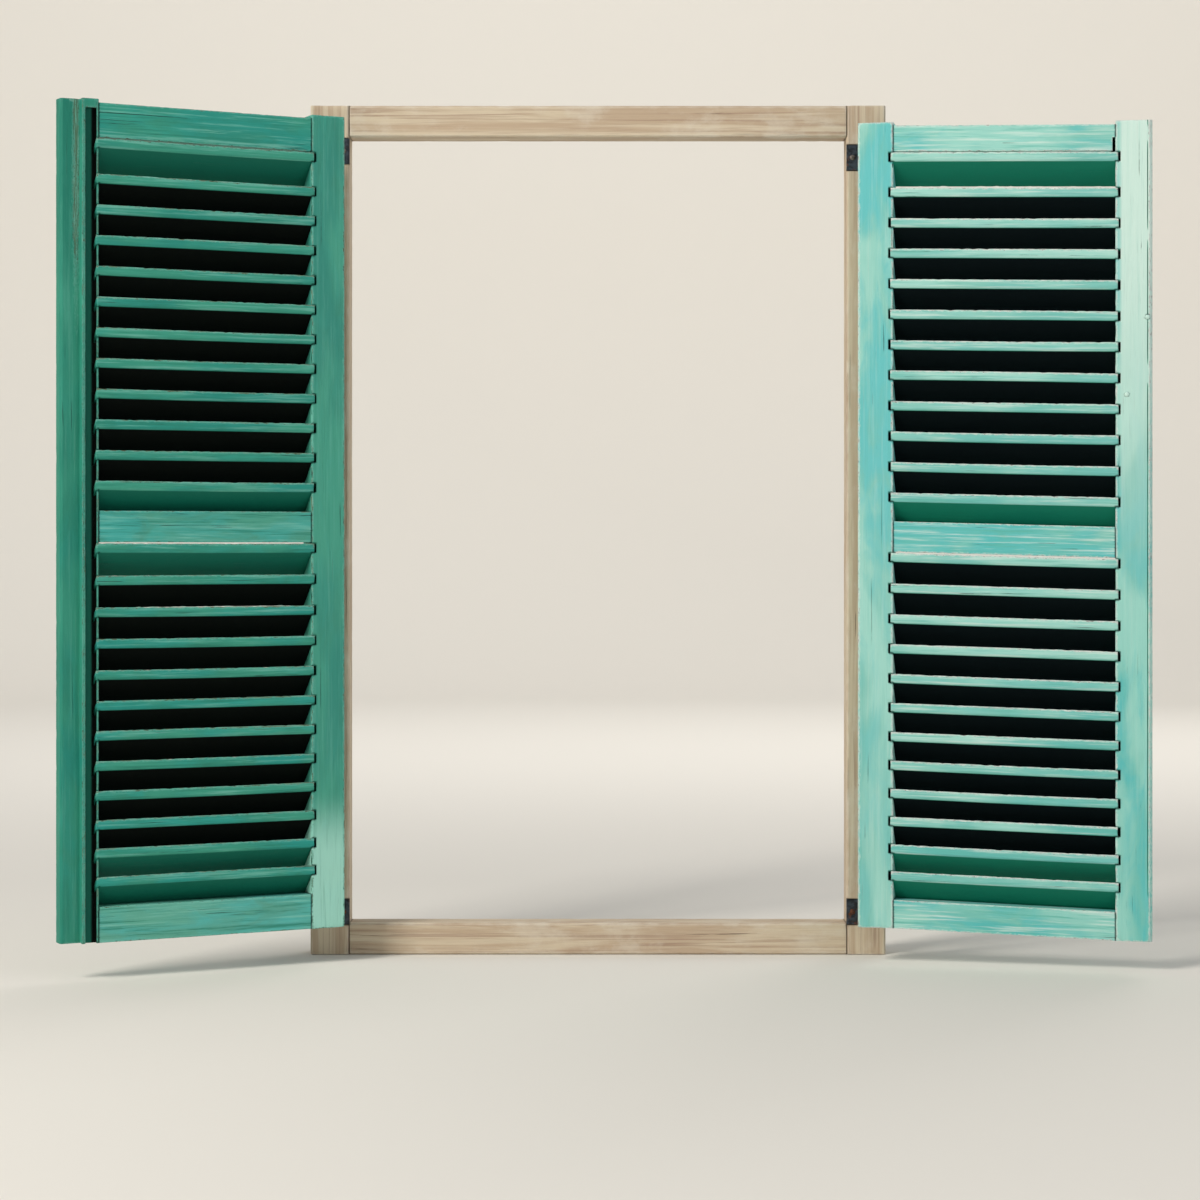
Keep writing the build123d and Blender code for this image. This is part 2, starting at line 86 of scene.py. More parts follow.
class Recipe:
    """Node tree of one material, built with short calls."""

    def __init__(self, name: str) -> None:
        """Args: name: name of the material."""
        self.material = bpy.data.materials.new(name)
        self.material.use_nodes = True
        self.tree = self.material.node_tree
        self.shader = self.tree.nodes["Principled BSDF"]
        self.grain = self.attribute("grain", "Vector")

    def node(self, kind: str, inputs: dict[int | str, Value], **settings: str | bool) -> Node:
        """Adds one node.

        Args:
            kind: type name of the node.
            inputs: values or sockets by the input's name or place.
            settings: properties of the node.

        Returns:
            The new node.
        """
        made = self.tree.nodes.new(kind)
        for key, setting in settings.items():
            setattr(made, key, setting)
        for key, value in inputs.items():
            if isinstance(value, NodeSocket):
                self.tree.links.new(value, made.inputs[key])
            else:
                made.inputs[key].default_value = value
        return made

    def attribute(self, name: str, output: str = "Fac") -> NodeSocket:
        """Returns: a value that the mesh carries at its points."""
        return self.node("ShaderNodeAttribute", {}, attribute_name=name).outputs[output]

    def noise(self, stretch: tuple[float, float, float], detail: float = 3.0, roughness: float = 0.55,
              distortion: float = 0.0) -> NodeSocket:
        """Cloudy pattern that follows the grain.

        Args:
            stretch: repeats in a metre along the grain and across it, both ways.
            detail: number of finer layers.
            roughness: weight of the finer layers.
            distortion: how much the pattern curls.

        Returns:
            A value round 0.5.
        """
        placed = self.node("ShaderNodeMapping", {"Vector": self.grain, "Scale": stretch}).outputs[0]
        inputs = {"Vector": placed, "Scale": 1.0, "Detail": detail, "Roughness": roughness,
                  "Distortion": distortion}
        return self.node("ShaderNodeTexNoise", inputs).outputs[0]

    def step(self, value: NodeSocket, low: float, high: float) -> NodeSocket:
        """Returns: 0 below low, 1 above high, and a smooth rise between them."""
        inputs = {"Value": value, "From Min": low, "From Max": high}
        return self.node("ShaderNodeMapRange", inputs, interpolation_type="SMOOTHSTEP").outputs[0]

    def math(self, operation: str, first: Value, second: Value) -> NodeSocket:
        """Returns: the result of one operation, kept between 0 and 1."""
        made = self.node("ShaderNodeMath", {0: first, 1: second}, operation=operation, use_clamp=True)
        return made.outputs[0]

    def times(self, first: Value, second: Value) -> NodeSocket:
        """Returns: the product of two values, kept between 0 and 1."""
        return self.math("MULTIPLY", first, second)

    def plus(self, first: Value, second: Value) -> NodeSocket:
        """Returns: the sum of two values, kept between 0 and 1."""
        return self.math("ADD", first, second)

    def mix(self, share: Value, under: Value, over: Value) -> NodeSocket:
        """Lays one colour over another.

        Args:
            share: how much of the upper colour shows.
            under: lower colour.
            over: upper colour.

        Returns:
            The mixed colour.
        """
        inputs = {0: share, 6: under, 7: over}
        return self.node("ShaderNodeMix", inputs, data_type="RGBA").outputs[2]

    def relief(self, height: NodeSocket, depth: float, below: NodeSocket | None = None) -> NodeSocket:
        """Bump made from a height.

        Args:
            height: value from 0 to 1.
            depth: real depth of the relief in metres.
            below: normal of a coarser relief that this one lies on.

        Returns:
            The new normal.
        """
        inputs: dict[int | str, Value] = {"Height": height, "Distance": depth, "Strength": 1.0}
        if below is not None:
            inputs["Normal"] = below
        return self.node("ShaderNodeBump", inputs).outputs[0]

    def close(self, colour: NodeSocket, roughness: NodeSocket, normal: NodeSocket) -> Material:
        """Joins the last sockets to the shader.

        Args:
            colour: base colour.
            roughness: roughness from 0 to 1.
            normal: normal with its relief.

        Returns:
            The finished material.
        """
        for name, socket in {"Base Color": colour, "Roughness": roughness, "Normal": normal}.items():
            self.tree.links.new(socket, self.shader.inputs[name])
        return self.material


@dataclass(frozen=True)
class WeatheredPaint:
    """Old brushed paint on softwood: faded, streaked, chipped at the arrises and dirty in the joints, with painted
    sunlight and painted shade laid into its colour.
    """

    name: str
    faded: Colour
    fresh: Colour
    deep: Colour
    painted_sunlight: Colour
    chalk: Colour
    worn_wood_with_painted_light: Colour
    grime: Colour
    green_shade: Colour
    black_shade: Colour
    chalk_share: float = 0.5

    def material(self) -> Material:
        """Returns: the material of the paint."""
        mix = Recipe(self.name)
        arris, nook, shade, sun, wash, streaks = (mix.attribute(mark) for mark in MARKS)
        broad = mix.noise((3.0, 9.0, 9.0), detail=3.0, distortion=0.5)
        patch = mix.noise((9.0, 30.0, 30.0), detail=5.0, roughness=0.62, distortion=1.0)
        brush = mix.noise((6.0, 190.0, 190.0), detail=4.0, roughness=0.66)
        fibre = mix.noise((20.0, 1500.0, 1500.0), detail=2.0)
        fleck = mix.noise((150.0, 520.0, 520.0), detail=4.0, roughness=0.7)
        check = mix.noise((5.0, 330.0, 330.0), detail=4.0, roughness=0.5, distortion=0.4)

        colour = mix.mix(mix.step(broad, 0.36, 0.66), linear(self.faded), linear(self.deep))
        clouds = mix.plus(mix.times(broad, 0.6), mix.times(patch, 0.4))
        left = mix.times(mix.step(clouds, 0.42, 0.6), mix.times(wash, 1.3))
        colour = mix.mix(left, colour, linear(self.fresh))
        # Painted sunlight: where the sun mark is high the paint turns pale, standing in for sun falling on it.
        sunlight_share = mix.times(sun, mix.plus(mix.times(brush, 0.24), 0.8))
        colour = mix.mix(sunlight_share, colour, linear(self.painted_sunlight))
        light_streak = mix.times(mix.step(brush, 0.5, 0.68), mix.times(streaks, 0.6))
        colour = mix.mix(light_streak, colour, linear(self.chalk))
        dark_streak = mix.times(mix.step(brush, 0.47, 0.31), mix.times(streaks, 0.84))
        colour = mix.mix(dark_streak, colour, linear(self.deep))
        colour = mix.mix(mix.times(mix.step(fibre, 0.4, 0.2), 0.22), colour, linear(self.grime))

        rub = mix.plus(mix.times(arris, 0.52), mix.times(fleck, 0.62))
        chalky = mix.times(mix.step(rub, 0.58, 0.74), self.chalk_share)
        colour = mix.mix(chalky, colour, linear(self.chalk))
        worn = mix.plus(mix.times(rub, 0.72), mix.times(patch, 0.36))
        chipped = mix.step(worn, 0.715, 0.745)
        # Chipped places show worn wood; on the sunlit copy its near-white colour is a painted highlight, on the
        # shaded copy it carries painted shade.
        wood = mix.mix(mix.step(fibre, 0.4, 0.62), linear(self.worn_wood_with_painted_light), linear(self.chalk))
        colour = mix.mix(chipped, colour, wood)
        pits = mix.times(mix.step(fleck, 0.57, 0.64), chipped)
        colour = mix.mix(mix.times(pits, 0.65), colour, linear(self.grime))
        crack = mix.times(mix.step(check, 0.325, 0.295), mix.step(patch, 0.42, 0.58))
        colour = mix.mix(mix.times(crack, 0.8), colour, linear(self.grime))
        dirt = mix.plus(mix.times(nook, 0.8), mix.times(fleck, 0.3))
        dirty = mix.times(mix.step(dirt, 0.7, 0.97), 0.94)
        colour = mix.mix(dirty, colour, linear(self.grime))
        # Painted shade: the shade mark lays a green shadow up to 0.5 and a black one up to 1, under the slats and
        # in housings, channels, cracks and open joints.
        colour = mix.mix(mix.step(shade, 0.0, 0.5), colour, linear(self.green_shade))
        colour = mix.mix(mix.step(shade, 0.5, 1.0), colour, linear(self.black_shade))

        film = mix.math("SUBTRACT", 1.0, mix.plus(chipped, crack))
        normal = mix.relief(patch, 0.001)
        normal = mix.relief(brush, 0.0003, normal)
        normal = mix.relief(film, 0.0004, normal)
        roughness = mix.plus(mix.times(fleck, 0.3), mix.times(chipped, 0.25))
        roughness = mix.plus(roughness, 0.38)
        lustre = mix.times(mix.math("SUBTRACT", 1.0, mix.math("MAXIMUM", shade, dirty)), 0.3)
        mix.tree.links.new(lustre, mix.shader.inputs["Specular IOR Level"])
        return mix.close(colour, roughness, normal)


@dataclass(frozen=True)
class WeatheredTimber:
    """Pale sawn timber with brown grain, thin checks and a worn grey bloom."""

    name: str
    sapwood: Colour
    heartwood: Colour
    grain_line: Colour
    bloom: Colour
    grime: Colour

    def material(self) -> Material:
        """Returns: the material of the timber."""
        mix = Recipe(self.name)
        arris = mix.attribute("arris")
        nook = mix.attribute("nook")
        figure = mix.noise((1.6, 34.0, 34.0), detail=3.0, distortion=1.4)
        band = mix.noise((2.2, 120.0, 120.0), detail=4.0, roughness=0.6, distortion=0.8)
        fibre = mix.noise((12.0, 900.0, 900.0), detail=3.0)
        stain = mix.noise((9.0, 16.0, 16.0), detail=5.0, roughness=0.65)
        check = mix.noise((4.0, 300.0, 300.0), detail=4.0, distortion=0.4)

        colour = mix.mix(mix.step(figure, 0.4, 0.62), linear(self.sapwood), linear(self.heartwood))
        grain_line = linear(self.grain_line)
        colour = mix.mix(mix.times(mix.step(band, 0.5, 0.66), 0.6), colour, grain_line)
        colour = mix.mix(mix.times(mix.step(fibre, 0.45, 0.25), 0.4), colour, grain_line)
        colour = mix.mix(mix.times(mix.step(stain, 0.5, 0.7), 0.5), colour, linear(self.bloom))
        rub = mix.plus(mix.times(arris, 0.5), mix.times(stain, 0.5))
        colour = mix.mix(mix.times(mix.step(rub, 0.5, 0.8), 0.6), colour, linear(self.bloom))
        crack = mix.step(check, 0.31, 0.27)
        colour = mix.mix(mix.times(crack, 0.8), colour, linear(self.grime))
        dirt = mix.plus(mix.times(nook, 0.75), mix.times(stain, 0.3))
        colour = mix.mix(mix.times(mix.step(dirt, 0.6, 0.95), 0.75), colour, linear(self.grime))

        normal = mix.relief(stain, 0.001)
        normal = mix.relief(fibre, 0.0005, normal)
        normal = mix.relief(mix.math("SUBTRACT", 1.0, crack), 0.0006, normal)
        roughness = mix.plus(mix.times(fibre, 0.25), 0.6)
        mix.shader.inputs["Specular IOR Level"].default_value = 0.25
        return mix.close(colour, roughness, normal)


@dataclass(frozen=True)
class WeatheredIron:
    """Forged iron under old dark paint, with rust in its low places and rubbed arrises."""

    name: str
    coating: Colour
    sheen: Colour
    rust: Colour
    dark_rust: Colour
    rust_from: float = 0.56
    metallic: float = 0.35

    def material(self) -> Material:
        """Returns: the material of the iron."""
        mix = Recipe(self.name)
        arris = mix.attribute("arris")
        nook = mix.attribute("nook")
        hammer = mix.noise((110.0, 110.0, 110.0), detail=2.0)
        scale = mix.noise((420.0, 420.0, 420.0), detail=5.0, roughness=0.7)
        bloom = mix.noise((60.0, 60.0, 60.0), detail=6.0, roughness=0.68, distortion=0.6)

        colour = mix.mix(mix.step(hammer, 0.4, 0.62), linear(self.coating), linear(self.sheen))
        spread = mix.plus(mix.times(bloom, 0.88), mix.times(nook, 0.1))
        rusted = mix.step(spread, self.rust_from, self.rust_from + 0.08)
        rust = mix.mix(mix.step(scale, 0.4, 0.6), linear(self.dark_rust), linear(self.rust))
        colour = mix.mix(rusted, colour, rust)
        rub = mix.plus(mix.times(arris, 0.5), mix.times(scale, 0.5))
        colour = mix.mix(mix.times(mix.step(rub, 0.6, 0.75), 0.5), colour, linear(self.sheen))

        normal = mix.relief(hammer, 0.0012)
        normal = mix.relief(scale, 0.0003, normal)
        roughness = mix.plus(mix.times(scale, 0.3), mix.times(rusted, 0.25))
        roughness = mix.plus(roughness, 0.3)
        mix.shader.inputs["Metallic"].default_value = self.metallic
        return mix.close(colour, roughness, normal)


@dataclass(frozen=True)
class Palette:
    """Finishes of the whole object, made once."""

    # One paint in two copies: sunny_paint is the lit copy with painted sunlight, shaded_paint the copy with
    # painted shade in its colours.
    sunny_paint: Material
    shaded_paint: Material
    timber: Material
    iron: Material
    steel: Material

    @staticmethod
    def mixed() -> "Palette":
        """Returns: the palette with its materials made."""
        return Palette(
            # The lit copy of the paint, and below it the copy darkened with painted shade.
            sunny_paint=WeatheredPaint(
                "turquoise_paint_sunlit_copy", faded=(150, 212, 200), fresh=(80, 190, 192), deep=(96, 182, 168),
                painted_sunlight=(210, 236, 226), chalk=(226, 238, 230), worn_wood_with_painted_light=(198, 208, 205),
                grime=(16, 22, 22), green_shade=(20, 124, 100), black_shade=(16, 24, 26)).material(),
            shaded_paint=WeatheredPaint(
                "turquoise_paint_shaded_copy", faded=(60, 158, 134), fresh=(30, 172, 166), deep=(34, 128, 108),
                painted_sunlight=(178, 234, 218), chalk=(132, 204, 188), worn_wood_with_painted_light=(88, 96, 66),
                grime=(12, 22, 20), green_shade=(18, 106, 88), black_shade=(16, 20, 18), chalk_share=0.4).material(),
            timber=WeatheredTimber(
                "pale_weathered_timber", sapwood=(208, 193, 168), heartwood=(190, 169, 144),
                grain_line=(156, 128, 110), bloom=(216, 207, 190), grime=(60, 50, 42)).material(),
            iron=WeatheredIron(
                "forged_iron_dark", coating=(34, 38, 44), sheen=(62, 70, 80), rust=(122, 70, 42),
                dark_rust=(62, 38, 28)).material(),
            steel=WeatheredIron(
                "rusted_steel", coating=(70, 64, 60), sheen=(118, 110, 102), rust=(132, 80, 50),
                dark_rust=(70, 44, 34), rust_from=0.48, metallic=0.6).material(),
        )


@dataclass
class Surroundings:
    """Shapes of the pieces that stand round one another, for joints that gather dirt."""

    home: Matrix
    nodes: list[str]
    trees: dict[str, BVHTree] = field(default_factory=dict)

    def __post_init__(self) -> None:
        """Measures every node once, in the axes of home."""
        for node in self.nodes:
            solid = merged_copy(node, self.home)
            self.trees[node] = BVHTree.FromBMesh(solid)
            solid.free()

    def gap(self, node: str, place: Vector, reach: float) -> float:
        """Distance from a place on one node to its nearest neighbour.

        Args:
            node: the node that the place is on.
            place: the place, in the axes of home.
            reach: longest distance looked at.

        Returns:
            The distance, or reach where nothing is nearer.
        """
        nearest = reach
        for other, tree in self.trees.items():
            if other != node:
                found = tree.find_nearest(place, nearest)
                nearest = nearest if found[3] is None else min(nearest, found[3])
        return nearest


def merged_copy(node: str, home: Matrix) -> BMesh:
    """Copies a solid with its points joined and its flat faces whole.

    Args:
        node: name of the solid's node.
        home: axes that the copy is turned into.

    Returns:
        The copy, in the axes of home.
    """
    solid = bmesh.new()
    solid.from_mesh(frame["nodes"][node].data)
    bmesh.ops.remove_doubles(solid, verts=solid.verts, dist=0.01 * MM)
    bmesh.ops.dissolve_limit(solid, angle_limit=math.radians(0.4), verts=solid.verts, edges=solid.edges)
    solid.transform(home.inverted())
    return solid


def islands(shape: BMesh) -> list[list[BMVert]]:
    """Splits a shape into its separate solids.

    Args:
        shape: the shape, which gets no new layers after this.

    Returns:
        The points of each solid, one list a solid.
    """
    left = set(shape.verts)
    groups = []
    while left:
        start = left.pop()
        group, waiting = [start], [start]
        while waiting:
            vert = waiting.pop()
            for edge in vert.link_edges:
                other = edge.other_vert(vert)
                if other in left:
                    left.remove(other)
                    group.append(other)
                    waiting.append(other)
        groups.append(group)
    return groups


@dataclass(frozen=True)
class Tone:
    """How much painted sunlight a piece carries along its height, how much fresh colour it keeps, and how streaked
    its brushwork is.
    """

    sun_low: float = 0.0
    sun_high: float = 0.0
    wash_low: float = 0.15
    wash_high: float = 0.15
    turn: float = 720 * MM
    spread: float = 600 * MM
    streaks: float = 0.6

    def at(self, height: float) -> tuple[float, float]:
        """Shares at one height.

        Args:
            height: height above the foot of the leaf.

        Returns:
            The share of painted sunlight and the fresh share.
        """
        part = min(1.0, max(0.0, 0.5 + 0.5 * (height - self.turn) / self.spread))
        part = part * part * (3.0 - 2.0 * part)
        return (self.sun_low + (self.sun_high - self.sun_low) * part,
                self.wash_low + (self.wash_high - self.wash_low) * part)


@dataclass
class Wear:
    """How a piece is cut into rows and how far age has eaten into it."""

    grain: Axis
    row: float = 7 * MM
    rounding: float = 0.6 * MM
    chip: float = 0.9 * MM
    chip_length: float = 16 * MM
    chip_reach: float = 2.6 * MM
    splinter_length: float = 5 * MM
    dent: float = 0.16 * MM
    dent_length: float = 34 * MM
    tone: Tone = Tone()


@dataclass
class Workpiece:
    """One piece of the object, worked up from the solid of its node."""

    node: str
    around: Surroundings
    wear: Wear
    seed: int
    shape: BMesh = field(init=False)
    arrises: KDTree = field(init=False)
    lines: dict[Axis, set[float]] = field(init=False)
    sharp_angle: float = math.radians(26)
    arris_reach: float = 7 * MM
    nook_reach: float = 9 * MM
    covered: float = 1.6 * MM
    sample_spacing: float = 4 * MM
    flat_spacing: float = 14 * MM
    narrowest_row: float = 1.1 * MM
    end_margin: float = 0.8 * MM
    lines_from_arris: tuple[float, ...] = (-4.5 * MM, -1.6 * MM, 1.6 * MM, 4.5 * MM)

    def __post_init__(self) -> None:
        """Copies the solid, rounds its open arrises and cuts it into rows."""
        self.shape = merged_copy(self.node, self.around.home)
        self.round_arrises()
        self.cut_rows()
        self.shape.verts.layers.float_vector.new("grain")
        for mark in MARKS:
            self.shape.verts.layers.float.new(mark)

    def round_arrises(self) -> None:
        """Rounds the arrises that no other piece covers, and remembers where they are."""
        samples: list[Vector] = []
        self.lines = {axis: set() for axis in Axis}
        edges = []
        for edge in self.shape.edges:
            if len(edge.link_faces) != 2 or edge.calc_face_angle_signed(0.0) < self.sharp_angle:
                continue
            start, end = (vert.co for vert in edge.verts)
            count = max(2, math.ceil(edge.calc_length() / self.sample_spacing))
            places = [start.lerp(end, (step + 0.5) / count) for step in range(count)]
            bare = [place for place in places
                    if self.around.gap(self.node, place, self.covered) >= self.covered]
            samples += bare
            if len(bare) > 0.6 * count:
                edges.append(edge)
                for axis in Axis:
                    if abs(start[axis.value] - end[axis.value]) < 0.05 * MM:
                        self.lines[axis].add(round(start[axis.value], 4))
        self.arrises = KDTree(len(samples))
        for index, place in enumerate(samples):
            self.arrises.insert(place, index)
        self.arrises.balance()
        bmesh.ops.bevel(self.shape, geom=edges, offset=self.wear.rounding, offset_type="OFFSET", segments=2,
                        profile=0.5, affect="EDGES", material=-1, clamp_overlap=False)

    def cut_rows(self) -> None:
        """Cuts rows across the grain, and lines beside the arrises that run along it."""
        for axis in Axis:
            places = [vert.co[axis.value] for vert in self.shape.verts]
            low, high = min(places), max(places)
            if axis is self.wear.grain:
                count = round((high - low) / self.wear.row)
                cuts = [low + (high - low) * step / count for step in range(1, count)]
            else:
                cuts = self.lines_beside(self.lines[axis], low, high)
            for cut in cuts:
                cut_across(self.shape, axis, cut)

    def lines_beside(self, lines: set[float], low: float, high: float) -> list[float]:
        """Places for lines that follow the arrises closely and the flats loosely.

        Args:
            lines: places of the arrises.
            low: start of the piece.
            high: end of the piece.

        Returns:
            Places for the cuts.
        """
        wanted = [line + side for line in sorted(lines) for side in self.lines_from_arris]
        count = max(1, round((high - low) / self.flat_spacing))
        wanted += [low + (high - low) * step / count for step in range(1, count)]
        kept: list[float] = []
        for place in wanted:
            clear = all(abs(place - other) > self.narrowest_row for other in [*kept, *lines])
            if low + self.end_margin < place < high - self.end_margin and clear:
                kept.append(place)
        return kept

    def age(self, offset: Vector) -> None:
        """Marks wear, dirt and painted sunlight on every point, and bites chips out of the arrises.

        Args:
            offset: place in the noise, so that no two pieces wear alike.
        """
        wear, shape = self.wear, self.shape
        arris_mark, nook_mark, sun_mark, wash_mark, streak_mark = (
            shape.verts.layers.float[mark] for mark in ("arris", "nook", "sun", "wash", "streaks"))
        shape.normal_update()
        moves: list[tuple[BMVert, Vector]] = []
        for vert in shape.verts:
            distance = self.arrises.find(vert.co)[2] or 0.0
            gap = self.around.gap(self.node, vert.co, self.nook_reach)
            vert[arris_mark] = max(0.0, 1.0 - distance / self.arris_reach)
            vert[nook_mark] = 1.0 - gap / self.nook_reach
            # The sun mark sets the painted sunlight at this height, the wash mark the fresh colour.
            vert[sun_mark], vert[wash_mark] = wear.tone.at(vert.co.z)
            vert[streak_mark] = wear.tone.streaks
            place = vert.co + offset
            sunk = wear.dent * (0.5 + 0.5 * noise.noise(place / wear.dent_length))
            splinter = 0.45 * noise.noise(place / wear.splinter_length)
            bite = max(0.0, noise.noise(place / wear.chip_length) + splinter - 0.12)
            sunk += wear.chip * min(1.0, 1.6 * bite) * max(0.0, 1.0 - distance / wear.chip_reach)
            moves.append((vert, vert.normal * -sunk))
        for vert, move in moves:
            vert.co += move

    def mark_grain(self, offset: Vector) -> None:
        """Writes the place along and across the grain on every point.

        Args:
            offset: shift of the pattern, so that no two pieces share one board.
        """
        layer = self.shape.verts.layers.float_vector["grain"]
        first = self.wear.grain.value
        for vert in self.shape.verts:
            along = vert.co[first]
            across = [vert.co[index] for index in range(3) if index != first]
            vert[layer] = Vector((along, *across)) + offset

    def darken(self, along: tuple[float, float], below: float = 0.9 * MM, highest: float = 2.0,
               amount: float = 1.0) -> None:
        """Paints shade into what lies inside a cavity of a leaf's piece, such as the walls of the slat housings.

        Args:
            along: start and end of the cavity along the leaf, without their sign.
            below: how far under both faces of the leaf it starts.
            highest: top of the cavity.
            amount: 0.5 for a green shadow and 1 for a black one.
        """
        shade = self.shape.verts.layers.float["shade"]
        depths = [vert.co.y for vert in self.shape.verts]
        front, back = min(depths) + below, max(depths) - below
        for vert in self.shape.verts:
            if along[0] < abs(vert.co.x) < along[1] and front < vert.co.y < back and vert.co.z < highest:
                vert[shade] = amount

    def single(self) -> None:
        """Ages the whole shape as one piece."""
        drift = random.Random(self.seed)
        offset = Vector([drift.uniform(2.0, 30.0) for _ in range(3)])
        self.mark_grain(offset)
        self.age(offset)

    def place(self, name: str, body: str, slot: str, material: Material) -> None:
        """Puts the worked shape in the scene.

        Args:
            name: name of the new piece.
            body: body that it rides on.
            slot: material slot of its finish; not used.
            material: its finish.
        """
        hang(finished(self.shape, self.around.home, name, material), self.node, body)


def cut_across(shape: BMesh, axis: Axis, place: float) -> None:
    """Cuts a line round a shape, square to an axis.

    Args:
        shape: the shape, which stays whole.
        axis: the axis that the line is square to.
        place: place of the line on the axis.
    """
    geometry = shape.verts[:] + shape.edges[:] + shape.faces[:]
    bmesh.ops.bisect_plane(shape, geom=geometry, dist=0.01 * MM, plane_co=axis.unit() * place,
                           plane_no=axis.unit())


def hang(made: Object, node: str, body: str) -> None:
    """Lets a finished piece stand in for the solid that it was worked up from.

    Args:
        made: the finished piece.
        node: node of the solid.
        body: body that it rides on.
    """
    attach(made, body)
    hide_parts(node)
    LOG.info("%s: %d faces", made.name, len(made.data.polygons))


def finished(shape: BMesh, home: Matrix, name: str, material: Material) -> Object:
    """Turns a shape into an object with smooth faces and crisp arrises.

    Args:
        shape: the shape, in the axes of home; it is freed.
        home: axes of the shape.
        name: name of the object.
        material: its finish.

    Returns:
        The object, linked to the scene.
    """
    shape.transform(home)
    bmesh.ops.recalc_face_normals(shape, faces=shape.faces)
    for face in shape.faces:
        face.smooth = True
    for edge in shape.edges:
        edge.smooth = len(edge.link_faces) == 2 and edge.calc_face_angle(0.0) < math.radians(50)
    mesh = bpy.data.meshes.new(name)
    shape.to_mesh(mesh)
    shape.free()
    mesh.materials.append(material)
    made = bpy.data.objects.new(name, mesh)
    bpy.context.scene.collection.objects.link(made)
    return made


@dataclass
class MeetingStile(Workpiece):
    """Upright of a leaf's free edge, marked by the other leaf, a bolt and the weather, with painted shade and
    painted sunlight on it.
    """

    crack_half_width: float = 1.1 * MM
    crack_depth: float = 1.6 * MM
    crack_wave: float = 60 * MM
    crack_fade: float = 80 * MM
    channel: tuple[float, float] = (3 * MM, 25 * MM)
    outer_strip: float = 6 * MM
    past_edge: float = 40 * MM
    rebate_depths: tuple[float, float] = (13 * MM, 18 * MM)
    worn_line: float = 38 * MM
    worn_half_width: float = 12 * MM
    worn_from: float = 850 * MM
    worn_rise: float = 400 * MM

    def open_crack(self, line: float, lowest: float) -> None:
        """Opens a broken drying crack in the indoor face and paints shade into it.

        Args:
            line: place of the crack across the stile.
            lowest: height that it dies out at.
        """
        for side in (-self.crack_half_width, 0.0, self.crack_half_width):
            cut_across(self.shape, Axis.WIDTH, line + side)
        self.single()
        shade = self.shape.verts.layers.float["shade"]
        face = min(vert.co.y for vert in self.shape.verts)
        for vert in self.shape.verts:
            if abs(vert.co.x - line) < 0.3 * MM and vert.co.y < face + 2 * MM:
                gape = 0.7 + 1.5 * noise.noise(Vector((0.0, self.seed, vert.co.z / self.crack_wave)))
                fade = min(1.0, max(0.0, (vert.co.z - lowest) / self.crack_fade))
                gape = min(1.0, max(0.1, gape)) * fade
                vert.co.y += self.crack_depth * gape
                # Painted shade inside the crack, darker where it gapes.
                vert[shade] = min(1.0, 0.4 + gape) if gape > 0.1 else gape

    def keep_fresh(self, inner_edge: float, width: float = 7 * MM) -> None:
        """Leaves a band beside the slats with less painted sunlight and more fresh paint colour.

        Args:
            inner_edge: distance of the stile's inner edge along the leaf.
            width: width of the band.
        """
        sun, wash = (self.shape.verts.layers.float[mark] for mark in ("sun", "wash"))
        for vert in self.shape.verts:
            if abs(vert.co.x) < inner_edge + width:
                # Less painted sunlight in this band.
                vert[sun] *= 0.4
                vert[wash] = max(vert[wash], 0.7)

    def mark_lap(self, inner_edge: float, outer_edge: float) -> None:
        """Paints shade over the stile, deeper in the bolt channel and on the edge face, and wears the rebate where
        the other leaf shuts.

        Args:
            inner_edge: distance of the stile's inner edge along the leaf.
            outer_edge: distance of its free edge.
        """
        self.single()
        channel_start, channel_end = (inner_edge + side for side in self.channel)
        past_edge = outer_edge + self.past_edge
        # Painted shade: a light green shadow over the whole stile, a deeper one in the bolt channel and on the
        # outer strip, which also gets less chalky wear.
        self.darken((0.0, past_edge), -1 * MM, amount=0.17)
        self.darken((channel_start, channel_end), 3 * MM, amount=0.6)
        self.darken((outer_edge - self.outer_strip, past_edge), -1 * MM, amount=0.24)
        arris = self.shape.verts.layers.float["arris"]
        face = min(vert.co.y for vert in self.shape.verts)
        shallow, deep = self.rebate_depths
        for vert in self.shape.verts:
            if abs(vert.co.x) > outer_edge - 8 * MM:
                vert[arris] *= 0.4
            if shallow < vert.co.y - face < deep:
                aside = abs(abs(vert.co.x) - inner_edge - self.worn_line)
                worn = 1.0 - aside / self.worn_half_width
                high = min(1.0, max(0.0, (vert.co.z - self.worn_from) / self.worn_rise))
                vert[arris] = max(vert[arris], high * min(1.0, 1.8 * worn))


